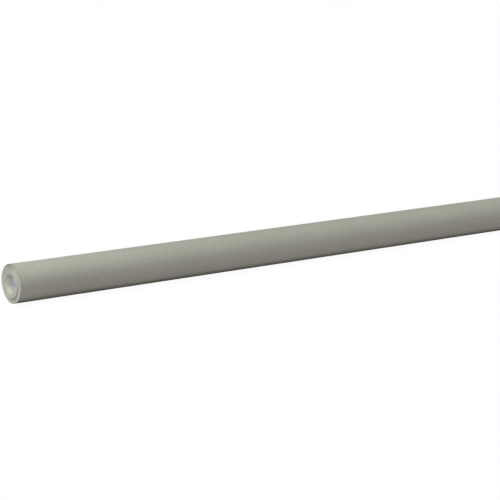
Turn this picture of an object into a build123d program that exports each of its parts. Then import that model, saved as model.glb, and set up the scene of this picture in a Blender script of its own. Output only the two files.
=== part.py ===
from build123d import *
import os
from math import cos, degrees, radians, sin

# A half-width roll of seamless backdrop paper on a board core.
#
# +X runs along the roll, -Y is its front and +Z is up. The origin is the middle of the bore.
# An angle round the roll is 0 at the front, 90 at the top, 180 at the back and 270 at the bottom.
# The web is wound so that it comes over the top, and its free edge hangs down the back.
# All sizes are in millimetres and all angles in degrees.

# The web
web_width = 1350.0
paper_thickness = 0.21
snug_clearance = 0.03  # air between a wrap and what it lies snug on

# The core: a wound board tube of an inner liner, two body plies and an outer ply
bore_radius = 12.7  # slides over a 25 mm crossbar
liner_thickness = 0.20
body_ply_thickness = 0.44
outer_ply_thickness = 0.20
glue_line = 0.02
core_recess = 6.6  # from each edge of the web to the core's end

# Double-sided tabs that hold the start of the web to the core
tape_thickness = 0.06
tape_length = 50.0  # along the roll
tape_width = 19.0  # round the core
tape_inset = 60.0  # from the core's end to an outer tab
tape_count = 3

# The wound blocks: the inner one was wound tighter and stands proud at the -X end
inner_block_radius = 24.0
inner_block_shift = 2.0
dish_radius = 17.0  # its first turns slid in with the core, which leaves a dish this far out
block_gap = 0.4
outer_block_radius = 32.0

# The last wrap: snug under the roll, then lifting off it, up the front and over the top
wrap_tuck = 4.0  # how far its start reaches under the free edge
snug_end = 277.0  # where it leaves the roll's underside
wrap_lift = 0.8  # its centre's shift, which opens twice this gap at the far side

# The tail: the end of the last wrap, which lifts at a row of hinge lines
peel_angle = 100.0
free_edge_angle = 190.0
tail_strips = 4
tail_seam = 0.3  # between two strips, with the hinge line in its middle


def around(radius, angle, centre=(0.0, 0.0)):
    """The point (y, z) at an angle round a centre."""
    return centre[0] - radius * cos(radians(angle)), centre[1] + radius * sin(radians(angle))


def lengthwise(outline, low, high):
    """A section in the YZ plane, drawn out along X from low to high."""
    return Pos(low, 0, 0) * extrude(Plane.YZ * outline, high - low)


def tube(inner_radius, outer_radius, low, high):
    return lengthwise(Circle(outer_radius) - Circle(inner_radius), low, high)


def sheet(thickness, stretches, low, high):
    """A bent sheet. Each stretch is (centre, inner radius, first angle, last angle)."""

    def arcs(offset):
        return [
            ThreePointArc(*[around(radius + offset, angle, centre)
                            for angle in (first, (first + last) / 2, last)])
            for centre, radius, first, last in stretches
        ]

    inside, outside = arcs(0), arcs(thickness)
    start = Line(inside[0] @ 0, outside[0] @ 0)
    finish = Line(inside[-1] @ 1, outside[-1] @ 1)
    return lengthwise(make_face(inside + outside + [start, finish]), low, high)


web_low, web_high = -web_width / 2, web_width / 2
core_low, core_high = web_low + core_recess, web_high - core_recess

# Each ply lies on the one inside it, a glue line away.
plies = {
    "core_inner_liner": liner_thickness,
    "core_body_ply_inner": body_ply_thickness,
    "core_body_ply_outer": body_ply_thickness,
    "core_outer_ply": outer_ply_thickness,
}
parts = {}
ply_radius = bore_radius
for name, thickness in plies.items():
    parts[name] = tube(ply_radius, ply_radius + thickness, core_low, core_high)
    core_radius = ply_radius + thickness
    ply_radius = core_radius + glue_line


def tape_tabs():
    """Tabs on top of the core, evenly spaced from end to end."""
    radius = core_radius + glue_line
    half_turn = degrees(tape_width / radius / 2)
    first = core_low + tape_inset
    pitch = (core_high - core_low - 2 * tape_inset - tape_length) / (tape_count - 1)
    stretch = [((0.0, 0.0), radius, 90 - half_turn, 90 + half_turn)]
    lows = [first + i * pitch for i in range(tape_count)]
    return Compound([sheet(tape_thickness, stretch, low, low + tape_length) for low in lows])


parts["web_start_tape_tabs"] = tape_tabs()

web_start_radius = core_radius + tape_thickness + 2 * glue_line
block_low = web_low - inner_block_shift
dish_depth = core_low - block_low
dish = Cone(dish_radius, web_start_radius, dish_depth)
parts["web_inner_windings"] = tube(
    web_start_radius, inner_block_radius, block_low, web_high - inner_block_shift
) - Pos(block_low + dish_depth / 2, 0, 0) * Rot(0, 90, 0) * dish
parts["web_outer_windings"] = tube(
    inner_block_radius + block_gap, outer_block_radius, web_low, web_high
)

# The loose stretch has a larger circle, which meets the snug one in line at snug_end.
snug_radius = outer_block_radius + snug_clearance
loose_radius = snug_radius + wrap_lift
loose_centre = around(wrap_lift, snug_end + 180)
half_seam = degrees(tail_seam / 2 / loose_radius)

parts["web_last_wrap"] = sheet(
    paper_thickness,
    [
        ((0.0, 0.0), snug_radius, free_edge_angle - wrap_tuck, snug_end),
        (loose_centre, loose_radius, snug_end, 360 + peel_angle - half_seam),
    ],
    web_low,
    web_high,
)

strip_angle = (free_edge_angle - peel_angle) / tail_strips
for i in range(tail_strips):
    first = peel_angle + i * strip_angle
    last = first + strip_angle - (half_seam if i < tail_strips - 1 else 0)
    stretch = [(loose_centre, loose_radius, first + half_seam, last)]
    parts[f"web_tail_strip_{i + 1}"] = sheet(paper_thickness, stretch, web_low, web_high)
    y, z = around(loose_radius + paper_thickness, first, loose_centre)
    print(f"hinge line {i + 1}: y {y:.4f}, z {z:.4f}")

turns = (outer_block_radius - web_start_radius) / (paper_thickness + snug_clearance)
print(f"core outside diameter {2 * core_radius:.2f}, about {turns:.0f} turns of web")

os.makedirs("parts", exist_ok=True)
for name, part in parts.items():
    export_step(part, f"parts/{name}.step")
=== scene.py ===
"""A roll of backdrop paper on its cardboard core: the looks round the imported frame.

Everything is in metres. X runs along the roll, and an angle round it starts at the
front (-Y) and turns up over the top (+Z) to the back.
"""

import math

import bmesh
import bpy
import numpy as np
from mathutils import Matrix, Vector


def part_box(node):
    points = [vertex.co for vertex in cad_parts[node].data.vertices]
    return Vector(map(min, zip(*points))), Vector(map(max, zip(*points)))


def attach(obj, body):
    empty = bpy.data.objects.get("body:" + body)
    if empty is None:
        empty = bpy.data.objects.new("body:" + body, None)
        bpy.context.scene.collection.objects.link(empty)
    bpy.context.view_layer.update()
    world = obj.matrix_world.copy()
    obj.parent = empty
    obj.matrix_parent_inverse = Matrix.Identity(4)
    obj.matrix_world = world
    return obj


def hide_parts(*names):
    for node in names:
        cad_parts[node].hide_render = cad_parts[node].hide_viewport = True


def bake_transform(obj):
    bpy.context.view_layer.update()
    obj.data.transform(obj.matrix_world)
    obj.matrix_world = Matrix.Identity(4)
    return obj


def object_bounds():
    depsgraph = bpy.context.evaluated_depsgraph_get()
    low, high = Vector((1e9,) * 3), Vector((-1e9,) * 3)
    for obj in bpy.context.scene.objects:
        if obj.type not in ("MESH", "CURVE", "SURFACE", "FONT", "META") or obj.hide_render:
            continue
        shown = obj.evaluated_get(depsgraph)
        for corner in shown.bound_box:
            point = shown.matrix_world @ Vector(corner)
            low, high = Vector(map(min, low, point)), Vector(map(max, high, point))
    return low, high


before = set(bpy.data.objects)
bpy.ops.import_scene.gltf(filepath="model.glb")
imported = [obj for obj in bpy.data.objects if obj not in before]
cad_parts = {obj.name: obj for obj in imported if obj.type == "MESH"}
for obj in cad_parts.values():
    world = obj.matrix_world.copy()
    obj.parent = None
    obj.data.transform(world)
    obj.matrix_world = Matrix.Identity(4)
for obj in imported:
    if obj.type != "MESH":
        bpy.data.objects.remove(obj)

CAD_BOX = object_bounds()
MM = 0.001
rng = np.random.default_rng(27)

SHARP = math.radians(40)  # the angle from which an edge is a crease
WELD = 0.0001 * MM  # points this near each other are one

# The web of paper
PAPER = 0.21 * MM
PITCH = 0.24 * MM  # paper and the air between two turns
PITCH_SWING = 0.10  # the most that one turn's pitch differs from another's, as a share
CORE_GAP = 0.10 * MM  # between the core and the first turn
BLOCK_GAP = 0.12 * MM  # between the inner and the outer windings
TURN_FACES = 96
EDGE_WANDER = 0.16 * MM  # how far one turn's cut edge stands back from the next
DISH_RADIUS = 17.0 * MM  # of the dish round the core, in the near end

# The last wrap: its angles are in degrees, and run on past 360 after a full turn
WRAP_START, SNUG_END, WRAP_END = 186.0, 277.0, 448.75
TURNS_END = WRAP_START + 4  # the turns below run on under its start
WRAP_LIFT = 0.8 * MM  # how far the last wrap's loose part stands off
WRAP_STEP = 1.5  # degrees from one station to the next
WRAP_ROWS = 136
SNUG_GAP = 0.03 * MM
RIPPLE = 0.09 * MM
RIPPLE_WAVES = (  # (length in mm, turns of phase round the roll, phase)
    (310, 2.0, 0.6),
    (173, -3.0, 2.1),
    (97, 5.0, 4.4),
    (61, -7.0, 1.3),
)
WRAP_WANDER = 0.05 * MM  # unevenness of its cut edges
GROOVE = 0.55 * MM  # left open under its loose part
GROOVE_SHADE_SIDES = 80, 300  # outside these, round the front, the tail never uncovers the groove, and the outermost turn there gets the groove's painted shade
LOOSE_DEPTH = 5.0 * MM  # the turns this far in have begun to follow it
LOOSE_FADE = 40.0  # degrees before the wrap's start in which they become snug

# The tail: the wrap's last part, in four strips
TAIL_BREAKS = (88.75, 111.25, 133.75, 156.25, 190.0)

# The core
CORE_FACES = 128
LINER = 0.20 * MM
GLUE = 0.02 * MM
END_WANDER = 0.14 * MM  # unevenness of a ply's sawn end
END_KNOTS = 12  # random heights round a ply's end
SEAM_LEAD = 64 * MM  # the liner strip advances this far in a turn
SEAM_WIDTH = 0.35 * MM
SEAM_DEPTH = 0.15 * MM
SEAM_FLOOR = 0.8  # its flat floor's share of the width

# Colours, as linear light
PAPER_COLOUR = (0.405, 0.418, 0.358)
BACK_COLOUR = (0.50, 0.51, 0.43)
EDGE_COLOUR = (0.415, 0.428, 0.370)
# painted shade: the colour of the shadow down the groove under the last wrap
GROOVE_SHADE_COLOUR = (0.10, 0.102, 0.085)
LINER_COLOUR = (0.58, 0.62, 0.72)
BOARD_COLOUR = (0.21, 0.16, 0.115)
TAPE_COLOUR = (0.62, 0.60, 0.52)

inner_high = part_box("web_inner_windings")[1]
outer_low, outer_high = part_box("web_outer_windings")
core_low, core_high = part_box("core_outer_ply")


# ---------------------------------------------------------------- meshes


def on_circle(radius, degrees, centre=(0.0, 0.0)):
    """(y, z) at an angle round a centre."""
    a = np.radians(degrees)
    return centre[0] - radius * np.cos(a), centre[1] + radius * np.sin(a)


def mesh_object(name, points, faces, slots):
    """A smooth object from points, faces and each face's material slot."""
    mesh = bpy.data.meshes.new(name)
    mesh.from_pydata(points.tolist(), [], faces.tolist())
    mesh.polygons.foreach_set("material_index", slots.astype(np.int32))
    mesh.polygons.foreach_set("use_smooth", np.full(len(faces), True))
    mesh.update()
    mesh.set_sharp_from_angle(angle=SHARP)
    made = bpy.data.objects.new(name, mesh)
    bpy.context.scene.collection.objects.link(made)
    return made


def add_map(obj, name, corners):
    """A UV map from one (u, v) for each corner of each face, in face order."""
    layer = obj.data.uv_layers.new(name=name)
    layer.uv.foreach_set("vector", np.asarray(corners, np.float32).ravel())


def sheet(name, degrees, radii, lows, highs, rows, start_length=0.0, centre=None):
    """A closed sheet of paper, bent round the roll.

    degrees, lows and highs have one value for each station round the roll. radii, of the
    sheet's inside, has one for each station, or one for each station and row. centre has
    one (y, z) for each station. The map "web" unrolls the sheet, in metres.
    """
    count = len(degrees)
    share = np.linspace(0, 1, rows)
    x = lows[:, None] + (highs - lows)[:, None] * share
    radius = np.broadcast_to(radii.reshape(count, -1), x.shape)
    angle = np.broadcast_to(degrees[:, None], x.shape)
    middle = np.zeros((count, 2)) if centre is None else centre
    layers = []
    for thickness in (0.0, PAPER):
        y, z = on_circle(radius + thickness, angle, (middle[:, :1], middle[:, 1:]))
        layers.append(np.stack([x, y, z], -1).reshape(-1, 3))
    points = np.concatenate(layers)
    ids = np.arange(2 * count * rows).reshape(2, count, rows)
    inside, outside = ids

    def quads(a, b, c, d):
        return np.stack([q.ravel() for q in (a, b, c, d)], -1)

    groups = [
        quads(outside[:-1, :-1], outside[:-1, 1:], outside[1:, 1:], outside[1:, :-1]),
        quads(inside[:-1, :-1], inside[1:, :-1], inside[1:, 1:], inside[:-1, 1:]),
        quads(outside[:-1, 0], outside[1:, 0], inside[1:, 0], inside[:-1, 0]),
        quads(outside[:-1, -1], inside[:-1, -1], inside[1:, -1], outside[1:, -1]),
        quads(outside[0, :-1], inside[0, :-1], inside[0, 1:], outside[0, 1:]),
        quads(outside[-1, :-1], outside[-1, 1:], inside[-1, 1:], inside[-1, :-1]),
    ]
    faces = np.concatenate(groups)
    kind = np.repeat(np.arange(6), [len(g) for g in groups])
    made = mesh_object(name, points, faces, kind.clip(0, 2))

    turned = np.radians(np.diff(degrees)) * radius[1:, 0]
    length = start_length + np.concatenate([[0.0], np.cumsum(turned)])
    along = np.broadcast_to(length[:, None], x.shape)
    web = [np.stack([along, x + t], -1).reshape(-1, 2) for t in (0.0, PAPER)]
    add_map(made, "web", np.concatenate(web)[faces.ravel()])
    bake_map(made, points, faces, kind, ids, length)
    return made


def bake_map(made, points, faces, kind, ids, length):
    """The map that the exported model's textures use.

    Each of a sheet's six kinds of face has a rectangle of its own. A block of windings
    gives most of the map to its two end faces, and a single wrap to its outside.
    """
    count, rows = ids.shape[1:]
    station = np.tile(np.repeat(np.arange(count), rows), 2)
    row = np.tile(np.arange(rows), 2 * count)
    round_share = ((length - length[0]) / (length[-1] - length[0]))[station]
    row_share = row / (rows - 1)
    layer = np.repeat([0.0, 1.0], count * rows)

    def lay(u, u0, u1, v, v0, v1):
        return np.stack([u0 + (u1 - u0) * u, v0 + (v1 - v0) * v], -1)

    if rows == 2:  # a block of windings, whose end faces are discs
        disc = points[:, 1:] * 0.24 / np.abs(points[:, 1:]).max()
        near = np.array([0.25, 0.75]) + disc
        far = np.array([0.75, 0.75]) + disc
        places = [
            lay(round_share, 0.01, 0.99, row_share, 0.28, 0.46),
            lay(round_share, 0.01, 0.99, row_share, 0.06, 0.24),
            near,
            far,
            lay(row_share, 0.01, 0.45, layer, 0.01, 0.04),
            lay(row_share, 0.55, 0.99, layer, 0.01, 0.04),
        ]
    else:
        places = [
            lay(round_share, 0.01, 0.74, row_share, 0.01, 0.99),
            lay(round_share, 0.76, 0.86, row_share, 0.01, 0.99),
            lay(layer, 0.88, 0.895, round_share, 0.01, 0.99),
            lay(layer, 0.91, 0.925, round_share, 0.01, 0.99),
            lay(layer, 0.94, 0.955, row_share, 0.01, 0.99),
            lay(layer, 0.97, 0.985, row_share, 0.01, 0.99),
        ]
    corners = np.empty((len(faces), 4, 2))
    for k, place in enumerate(places):
        corners[kind == k] = place[faces[kind == k]]
    add_map(made, "OFBake", corners)


def eased(knots, at):
    """A smooth line through the knots, read at places counted in knots."""
    k = np.minimum(at.astype(int), len(knots) - 2)
    t = at - k
    t = t * t * (3 - 2 * t)
    return knots[k] * (1 - t) + knots[k + 1] * t


def drift(count, every, size):
    """A smooth random line of that many values, with a new random one at each few."""
    knots = rng.random(count // every + 3)
    return size * eased(knots, np.arange(count) / every)


def loosened(degrees, radii, outside):
    """How far the roll's outer turns have followed the loose last wrap outwards."""
    gap = WRAP_LIFT * (1 + np.cos(np.radians(degrees - SNUG_END - 180)))
    turned = degrees % 360
    free = np.interp(turned, (WRAP_START - LOOSE_FADE, WRAP_START), (1, 0))
    free = np.where(turned > SNUG_END, 1.0, free)
    share = ((radii - outside + LOOSE_DEPTH) / LOOSE_DEPTH).clip(0, 1)
    return share**2 * free * (gap - GROOVE).clip(0)


def windings(name, node, first_radius, last_degrees, outermost=False):
    """A block of the wound web as the one spiral sheet that it really is."""
    low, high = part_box(node)
    turns = (high.z - first_radius - PAPER) / PITCH
    count = int(turns * TURN_FACES) + 1
    degrees = last_degrees - (np.arange(count)[::-1]) * 360 / TURN_FACES
    # Each turn's share of air differs a little from the next one's.
    steps = 1 + PITCH_SWING * (drift(count, TURN_FACES // 2, 1.0) - 0.5)
    grown = np.concatenate([[0.0], np.cumsum(steps[1:])])
    radii = first_radius + (high.z - PAPER - first_radius) * grown / grown[-1]

    def edge():
        wander = drift(count, TURN_FACES * 5, 0.5) + drift(count, TURN_FACES // 2, 0.5)
        return EDGE_WANDER * wander

    # The first turns slid in along with the core, and leave a dish in the near end.
    across = (radii - core_high.z) / (DISH_RADIUS - core_high.z)
    sunk = (core_low.x - low.x) * (1 - across).clip(0, 1) ** 2
    if outermost:
        radii = radii + loosened(degrees, radii, high.z)
    made = sheet(name, degrees, radii, low.x + edge() + sunk, high.x - edge(), 2)
    finish_piece(made, (paper, paper_back, paper_edge, painted_groove_shade))
    if outermost:
        # The turn under the wrap gets painted shade down the groove, for the shadow that
        # falls there.
        covered_to, covered_from = GROOVE_SHADE_SIDES
        for k in range(count - 1 - TURN_FACES, count - 1):
            if not covered_to < degrees[k] % 360 < covered_from:
                made.data.polygons[k].material_index = 3
    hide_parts(node)
    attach(made, "roll")


def ripple(degrees, x):
    """How far the last wrap bulges outwards, from long shallow waves that shrink in turn."""
    size = np.zeros(x.shape)
    for k, (length, lobes, phase) in enumerate(RIPPLE_WAVES):
        turn = np.radians(degrees)[:, None] * lobes
        wave = np.sin(2 * math.pi * x / (length * MM) + turn + phase)
        size += wave / (1 + 0.6 * k)
    return RIPPLE * (0.5 + size / 4.2).clip(0, 1)


def wrap_sheet(name, first, last, start_length=0.0):
    """Part of the last wrap, from one angle to another: snug at first, then standing off."""
    low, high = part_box("web_last_wrap")
    count = int(round((last - first) / WRAP_STEP)) + 1
    degrees = np.linspace(first, last, count)
    snug = outer_high.z + SNUG_GAP
    lift = np.where(degrees > SNUG_END, WRAP_LIFT, 0.0)
    centre = np.stack(on_circle(lift, SNUG_END + 180), -1)
    lows = low.x + drift(count, every=24, size=WRAP_WANDER)
    highs = high.x - drift(count, every=24, size=WRAP_WANDER)
    x = lows[:, None] + (highs - lows)[:, None] * np.linspace(0, 1, WRAP_ROWS)
    radii = (snug + lift)[:, None] + ripple(degrees, x)
    made = sheet(name, degrees, radii, lows, highs, WRAP_ROWS, start_length, centre)
    finish_piece(made, (paper, paper_back, paper_edge))
    return made


def last_wrap():
    """The roll's outside, and its tail, in four strips of their own."""
    made = wrap_sheet("web_last_wrap_paper", WRAP_START, WRAP_END)
    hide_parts("web_last_wrap")
    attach(made, "roll")
    radius = outer_high.z + SNUG_GAP + WRAP_LIFT
    strips = zip(TAIL_BREAKS, TAIL_BREAKS[1:])
    for k, (first, last) in enumerate(strips):
        length = math.radians(360 + first - WRAP_START) * radius
        piece = wrap_sheet(f"web_tail_paper_{k + 1}", 360 + first, 360 + last, length)
        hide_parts(f"web_tail_strip_{k + 1}")
        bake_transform(piece)


def ply(name, node, inner_radius, materials, seam=False):
    """One ply of the core: a tube with unevenly sawn ends.

    The liner shows the butt seam of the strip that it is wound from, running round its
    inside as a helix.
    """
    low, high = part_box(node)
    turn = np.linspace(0, 1, CORE_FACES + 1)
    inner, outer = (np.full(turn.shape, r) for r in (inner_radius, high.z))
    knots = rng.random(END_KNOTS)
    uneven = END_WANDER * eased(np.append(knots, knots[0]), turn * END_KNOTS)
    first, last = low.x + uneven, high.x - uneven

    profile = []  # (x, radius) arrays along the inside, from the low end to the high one
    kinds = []  # the slot of the stretch after each
    if seam:
        half = SEAM_WIDTH / 2
        floor = half * SEAM_FLOOR
        across = ((-half, 0.0), (-floor, SEAM_DEPTH), (floor, SEAM_DEPTH), (half, 0.0))
        for number in range(-1, int((high.x - low.x) / SEAM_LEAD) + 2):
            middle = low.x + (number + turn) * SEAM_LEAD
            for offset, depth in across:
                place = middle + offset
                held = (place <= first) | (place >= last)
                bore = inner_radius + np.where(held, 0, depth)
                profile.append((place.clip(first, last), bore))
            kinds += [1, 1, 1, 0]
    else:
        profile = [(first, inner), (last, inner)]
        kinds = [0, 0]
    profile = [(first, outer), *profile, (last, outer)]
    kinds = [1, *kinds[:-1], 1, 0]

    x = np.stack([p[0] for p in profile], -1)
    radius = np.stack([p[1] for p in profile], -1)
    degrees = np.broadcast_to((turn * 360)[:, None], x.shape)
    y, z = on_circle(radius, degrees)
    points = np.stack([x, y, z], -1).reshape(-1, 3)
    ids = np.arange(len(points)).reshape(x.shape)
    after = np.roll(ids, -1, axis=1)
    faces = np.stack([ids[:-1], ids[1:], after[1:], after[:-1]], -1).reshape(-1, 4)
    slots = np.tile(kinds, CORE_FACES)
    made = mesh_object(name, points, faces, slots)
    along = degrees / 360 * 2 * math.pi * inner_radius
    web = np.stack([along, x + radius], -1).reshape(-1, 2)
    add_map(made, "web", web[faces.ravel()])
    tidy_mesh(made)
    finish_piece(made, materials)
    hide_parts(node)
    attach(made, "roll")


def tidy_mesh(made):
    """Joins the tube's first column to its last, and drops faces squeezed to nothing."""
    bm = bmesh.new()
    bm.from_mesh(made.data)
    bmesh.ops.remove_doubles(bm, verts=bm.verts, dist=WELD)
    bmesh.ops.dissolve_degenerate(bm, edges=bm.edges, dist=WELD)
    bmesh.ops.recalc_face_normals(bm, faces=bm.faces)
    bm.to_mesh(made.data)
    bm.free()
    made.data.set_sharp_from_angle(angle=SHARP)


def finish_piece(made, materials):
    """Gives a piece the materials that its faces count from 0."""
    for m in materials:
        made.data.materials.append(m)


# ---------------------------------------------------------------- materials


class Nodes:
    """A material's node tree, built by short calls."""

    def __init__(self, name):
        self.material = bpy.data.materials.new(name)
        self.material.use_nodes = True
        self.tree = self.material.node_tree
        self.shader = self.tree.nodes["Principled BSDF"]

    def add(self, kind, values=None, **settings):
        node = self.tree.nodes.new(kind)
        for key, value in settings.items():
            setattr(node, key, value)
        for key, value in (values or {}).items():
            self.put(value, node.inputs[key])
        return node

    def put(self, value, socket):
        if isinstance(value, bpy.types.NodeSocket):
            self.tree.links.new(value, socket)
        else:
            socket.default_value = value

    def noise(self, where, scale, detail=2.0, rough=0.5):
        """Noise from 0 to 1 over the web, so many cells to the metre round and along."""
        scaled = self.add("ShaderNodeMapping", {"Vector": where, "Scale": (*scale, 1.0)})
        found = self.add(
            "ShaderNodeTexNoise",
            {"Vector": scaled.outputs[0], "Scale": 1.0, "Detail": detail, "Roughness": rough},
        )
        return found.outputs["Fac"]

    def total(self, parts):
        """0.5 plus each noise's distance from 0.5, times its weight."""
        level = 0.5 - sum(0.5 * w for _, w in parts)
        for value, weight in parts:
            level = self.add(
                "ShaderNodeMath", {0: value, 1: weight, 2: level}, operation="MULTIPLY_ADD"
            ).outputs[0]
        return level

    def between(self, factor, dark, light):
        mixed = self.add(
            "ShaderNodeMix",
            {"Factor": factor, "A": (*dark, 1), "B": (*light, 1)},
            data_type="RGBA",
        )
        return mixed.outputs["Result"]

    def bump(self, height, distance, strength):
        made = self.add(
            "ShaderNodeBump", {"Height": height, "Distance": distance, "Strength": strength}
        )
        self.put(made.outputs[0], self.shader.inputs["Normal"])


def shade(colour, share):
    return tuple(c * share for c in colour)


def fibre_material(name, colour, layers, swing, roughness, relief, specular=0.25):
    """A matt paper or board, whose colour swings that far to either side of its middle."""
    n = Nodes(name)
    where = n.add("ShaderNodeUVMap", uv_map="web").outputs[0]
    noises = [(n.noise(where, (a, b), d), cw, rw) for a, b, d, cw, rw in layers]
    tone = n.total([(v, cw) for v, cw, _ in noises if cw])
    n.put(
        n.between(tone, shade(colour, 1 - swing), shade(colour, 1 + swing)),
        n.shader.inputs["Base Color"],
    )
    height = n.total([(v, rw) for v, _, rw in noises if rw])
    n.bump(height, relief, 0.5)
    dull = n.add(
        "ShaderNodeMapRange",
        {"Value": tone, "To Min": roughness + 0.05, "To Max": roughness - 0.05},
    )
    n.put(dull.outputs[0], n.shader.inputs["Roughness"])
    n.shader.inputs["Specular IOR Level"].default_value = specular
    return n.material


# (cells to the metre round the roll, and along it, detail, colour weight, relief weight)
paper_grain = (
    (7, 9, 2, 0.28, 0.0),
    (170, 330, 2, 0.9, 0.5),
    (600, 800, 3, 0.8, 0.5),
    (1700, 3200, 2, 0.4, 0.6),
)
edge_grain = ((14, 40, 2, 1.2, 0.4), (260, 900, 2, 0.7, 0.6), (2500, 9000, 1, 0.5, 0.6))
liner_grain = ((40, 25, 2, 0.6, 0.2), (500, 500, 3, 0.6, 0.6), (2400, 2400, 2, 0.5, 0.5))
board_grain = ((60, 60, 3, 0.6, 0.2), (700, 1400, 3, 1.0, 0.8), (2600, 5200, 2, 0.6, 0.6))

paper = fibre_material(
    "backdrop_paper",
    PAPER_COLOUR,
    paper_grain,
    swing=0.22,
    roughness=0.88,
    relief=0.06 * MM,
)
paper_back = fibre_material(
    "backdrop_paper_back",
    BACK_COLOUR,
    paper_grain,
    swing=0.16,
    roughness=0.92,
    relief=0.06 * MM,
)
# Painted shade on the outermost turn, for the shadow down the groove under the last wrap,
# where alone it shows
painted_groove_shade = fibre_material(
    "backdrop_paper_painted_groove_shade",
    GROOVE_SHADE_COLOUR,
    paper_grain,
    swing=0.10,
    roughness=0.92,
    relief=0.06 * MM,
)
paper_edge = fibre_material(
    "backdrop_paper_edge",
    EDGE_COLOUR,
    edge_grain,
    swing=0.13,
    roughness=0.92,
    relief=0.05 * MM,
    specular=0.15,
)
liner_paper = fibre_material(
    "liner_paper",
    LINER_COLOUR,
    liner_grain,
    swing=0.07,
    roughness=0.62,
    relief=0.04 * MM,
    specular=0.4,
)
core_board = fibre_material(
    "core_board",
    BOARD_COLOUR,
    board_grain,
    swing=0.22,
    roughness=0.93,
    relief=0.08 * MM,
    specular=0.2,
)


def tape_material():
    """Matt tape with fine creases, over the CAD's own tabs."""
    n = Nodes("tape")
    where = n.add("ShaderNodeTexCoord").outputs["Object"]
    crease = n.noise(where, (90, 900), 3)
    haze = n.noise(where, (400, 400), 2)
    tone = n.total([(crease, 1.0), (haze, 0.6)])
    n.put(
        n.between(tone, shade(TAPE_COLOUR, 0.86), shade(TAPE_COLOUR, 1.12)),
        n.shader.inputs["Base Color"],
    )
    n.bump(crease, 0.03 * MM, 0.4)
    gloss = n.add("ShaderNodeMapRange", {"Value": haze, "To Min": 0.35, "To Max": 0.55})
    n.put(gloss.outputs[0], n.shader.inputs["Roughness"])
    return n.material


# ---------------------------------------------------------------- the object

windings(
    "web_inner_windings_paper",
    "web_inner_windings",
    first_radius=core_high.z + CORE_GAP,
    last_degrees=170.0,
)
windings(
    "web_outer_windings_paper",
    "web_outer_windings",
    first_radius=inner_high.z + BLOCK_GAP,
    last_degrees=TURNS_END,
    outermost=True,
)
last_wrap()

ply(
    "core_inner_liner_tube",
    "core_inner_liner",
    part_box("core_inner_liner")[1].z - LINER,
    (liner_paper, core_board),
    seam=True,
)
for node, under in (
    ("core_body_ply_inner", "core_inner_liner"),
    ("core_body_ply_outer", "core_body_ply_inner"),
    ("core_outer_ply", "core_body_ply_outer"),
):
    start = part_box(under)[1].z + GLUE
    ply(f"{node}_tube", node, start, (core_board, core_board))
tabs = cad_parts["web_start_tape_tabs"]
tabs.data.materials.clear()
tabs.data.materials.append(tape_material())

# ---------------------------------------------------------------- floor, light and camera

low, high = CAD_BOX
half_height = (high.z - low.z) / 2
near_end = Vector((outer_low.x, (low.y + high.y) / 2, (low.z + high.z) / 2))

FLOOR_HALF = 60.0
FLOOR_GLOW = 0.955
FLOOR_COLOUR = (0.05, 0.05, 0.05, 1)
FLOOR_DEPTH = 0.02 * MM  # below the roll's lowest point
UNDER_DEPTH = 0.06 * MM  # the same for the strip that keeps the low light out
UNDER_HALF = 36 * MM  # half that strip's width
FILL = (0.006, 0.006, 0.006, 1)  # the world's light on the roll
BACKDROP = (0.96, 0.96, 0.96, 1)  # the world as the camera sees it

# Degrees round the roll, degrees of lean towards the near end, level on a face that turns
# to it from the side (1 shows the paper at its own colour), colour, softness in degrees
SUNS = {
    "key": (95.0, 33.0, 0.73, (0.985, 1.0, 0.98), 34.0),
    "front": (10.0, 33.0, 0.425, (1.0, 1.0, 0.96), 34.0),
    "low": (-38.0, 18.0, 0.158, (1.05, 0.77, 1.0), 32.0),
    "back": (188.0, -25.0, 0.50, (1.0, 1.0, 1.0), 34.0),
    "far_end": (180.0, -80.0, 0.085, (1.0, 1.0, 1.0), 30.0),
}
# Place from the near end, diameter and power
LAMPS = {
    "near_end_lamp": (Vector((-0.10, -0.02, 0.40)), 0.25, 0.37),
    "end_face_lamp": (Vector((-0.14, -0.03, -0.055)), 0.06, 0.058),
}
LENS, SENSOR = 125.0, 36.0  # in millimetres
CAMERA_PLACE = Vector((-40.12, -74.73, 18.5))  # from the near end, in half heights
CAMERA_PITCH = math.radians(11.303)  # downwards
CAMERA_HEADING = math.radians(53.753)  # from the roll's axis, +X, towards its back


def floor_piece(name, corners, depth, material):
    """A level rectangle between two (x, y) corners, so far below the roll."""
    (x0, y0), (x1, y1) = corners
    z = low.z - depth
    mesh = bpy.data.meshes.new(name)
    mesh.from_pydata([(x0, y0, z), (x1, y0, z), (x1, y1, z), (x0, y1, z)], [], [(0, 1, 2, 3)])
    mesh.materials.append(material)
    piece = bpy.data.objects.new(name, mesh)
    bpy.context.scene.collection.objects.link(piece)
    piece.visible_diffuse = False
    piece.visible_glossy = False
    return piece


def make_floor():
    """Glows almost white, and is a little darker where the roll shades it."""
    n = Nodes("studio_floor")
    n.shader.inputs["Base Color"].default_value = FLOOR_COLOUR
    n.shader.inputs["Roughness"].default_value = 1.0
    n.shader.inputs["Specular IOR Level"].default_value = 0.0
    n.shader.inputs["Emission Color"].default_value = (1, 1, 1, 1)
    n.shader.inputs["Emission Strength"].default_value = FLOOR_GLOW
    half = FLOOR_HALF
    floor = floor_piece("floor", ((-half, -half), (half, half)), FLOOR_DEPTH, n.material)
    # The low light comes up through the floor, but not right under the roll.
    floor.visible_shadow = False
    under = ((low.x, -UNDER_HALF), (high.x, UNDER_HALF))
    floor_piece("floor_under_roll", under, UNDER_DEPTH, n.material)


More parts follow.
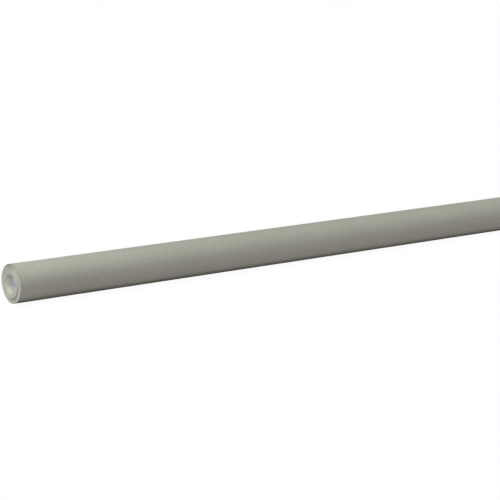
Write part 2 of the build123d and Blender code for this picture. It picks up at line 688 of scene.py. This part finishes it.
def make_world():
    """Pale where the camera sees it, and only a dim fill where it lights the roll."""
    world = bpy.data.worlds.new("studio")
    bpy.context.scene.world = world
    world.use_nodes = True
    tree = world.node_tree
    back = tree.nodes["Background"]
    path = tree.nodes.new("ShaderNodeLightPath")
    mix = tree.nodes.new("ShaderNodeMix")
    mix.data_type = "RGBA"
    mix.inputs["A"].default_value = FILL
    mix.inputs["B"].default_value = BACKDROP
    tree.links.new(path.outputs["Is Camera Ray"], mix.inputs["Factor"])
    tree.links.new(mix.outputs["Result"], back.inputs["Color"])


def make_light(name, kind, towards):
    """A light that shines from that direction."""
    light = bpy.data.lights.new(name, kind)
    obj = bpy.data.objects.new(name, light)
    bpy.context.scene.collection.objects.link(obj)
    obj.rotation_mode = "QUATERNION"
    obj.rotation_quaternion = towards.to_track_quat("Z", "Y")
    return light, obj


def make_suns():
    for name, (degrees, lean, level, colour, softness) in SUNS.items():
        lean = math.radians(lean)
        y, z = on_circle(math.cos(lean), degrees)
        light, _ = make_light(name, "SUN", Vector((-math.sin(lean), y, z)))
        light.energy = level * math.pi / math.cos(lean)
        light.color = colour
        light.angle = math.radians(softness)


def make_lamps():
    for name, (place, size, power) in LAMPS.items():
        light, obj = make_light(name, "AREA", place)
        light.shape = "DISK"
        light.size = size
        light.energy = power
        obj.location = near_end + place


def make_camera():
    """Looks down the roll from beside and above its near end."""
    data = bpy.data.cameras.new("camera")
    data.lens, data.sensor_width = LENS, SENSOR
    data.clip_start, data.clip_end = 0.05, 500.0
    camera = bpy.data.objects.new("camera", data)
    bpy.context.scene.collection.objects.link(camera)
    camera.location = near_end + half_height * CAMERA_PLACE
    level = math.cos(CAMERA_PITCH)
    x, y = math.cos(CAMERA_HEADING) * level, math.sin(CAMERA_HEADING) * level
    camera.rotation_mode = "QUATERNION"
    ahead = Vector((x, y, -math.sin(CAMERA_PITCH)))
    camera.rotation_quaternion = ahead.to_track_quat("-Z", "Y")
    bpy.context.scene.camera = camera


make_floor()
make_world()
make_suns()
make_lamps()
make_camera()
bpy.context.scene.view_settings.view_transform = "Standard"
